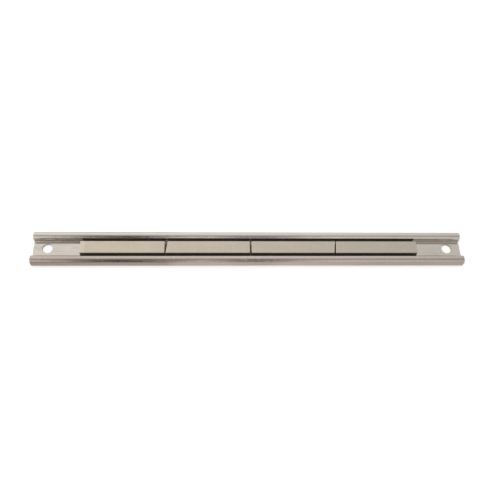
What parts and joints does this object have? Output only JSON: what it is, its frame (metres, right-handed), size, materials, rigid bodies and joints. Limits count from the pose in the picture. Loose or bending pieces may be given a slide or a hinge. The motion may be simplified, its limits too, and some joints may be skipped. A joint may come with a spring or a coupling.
{
  "type": "magnetic knife rack",
  "caption": "Wall-mounted magnetic knife rack: a folded stainless rail with two round hollow ridges and bar magnets under steel pole plates in the trough between them.",
  "frame": {"origin": "centre of the back, on the wall plane, midway along the rail; the two screw holes are 1.1 mm above it", "axes": "+X along the rail, +Y up the wall once the rack is hung, +Z out of the wall towards the knives; the part lies on its back"},
  "size_m": [0.45, 0.0366, 0.0095],
  "materials": {
    "rail_stainless": "satin",
    "pole_steel": "satin",
    "ferrite": "matte",
    "adhesive": "matte"
  },
  "bodies": {
    "root": {"rail": "rail_stainless", "magnet_bond_1": "adhesive", "magnet_1": "ferrite", "plate_bond_1": "adhesive", "pole_plate_1": "pole_steel", "magnet_bond_2": "adhesive", "magnet_2": "ferrite", "plate_bond_2": "adhesive", "pole_plate_2": "pole_steel", "magnet_bond_3": "adhesive", "magnet_3": "ferrite", "plate_bond_3": "adhesive", "pole_plate_3": "pole_steel", "magnet_bond_4": "adhesive", "magnet_4": "ferrite", "plate_bond_4": "adhesive", "pole_plate_4": "pole_steel"}
  },
  "joints": []
}
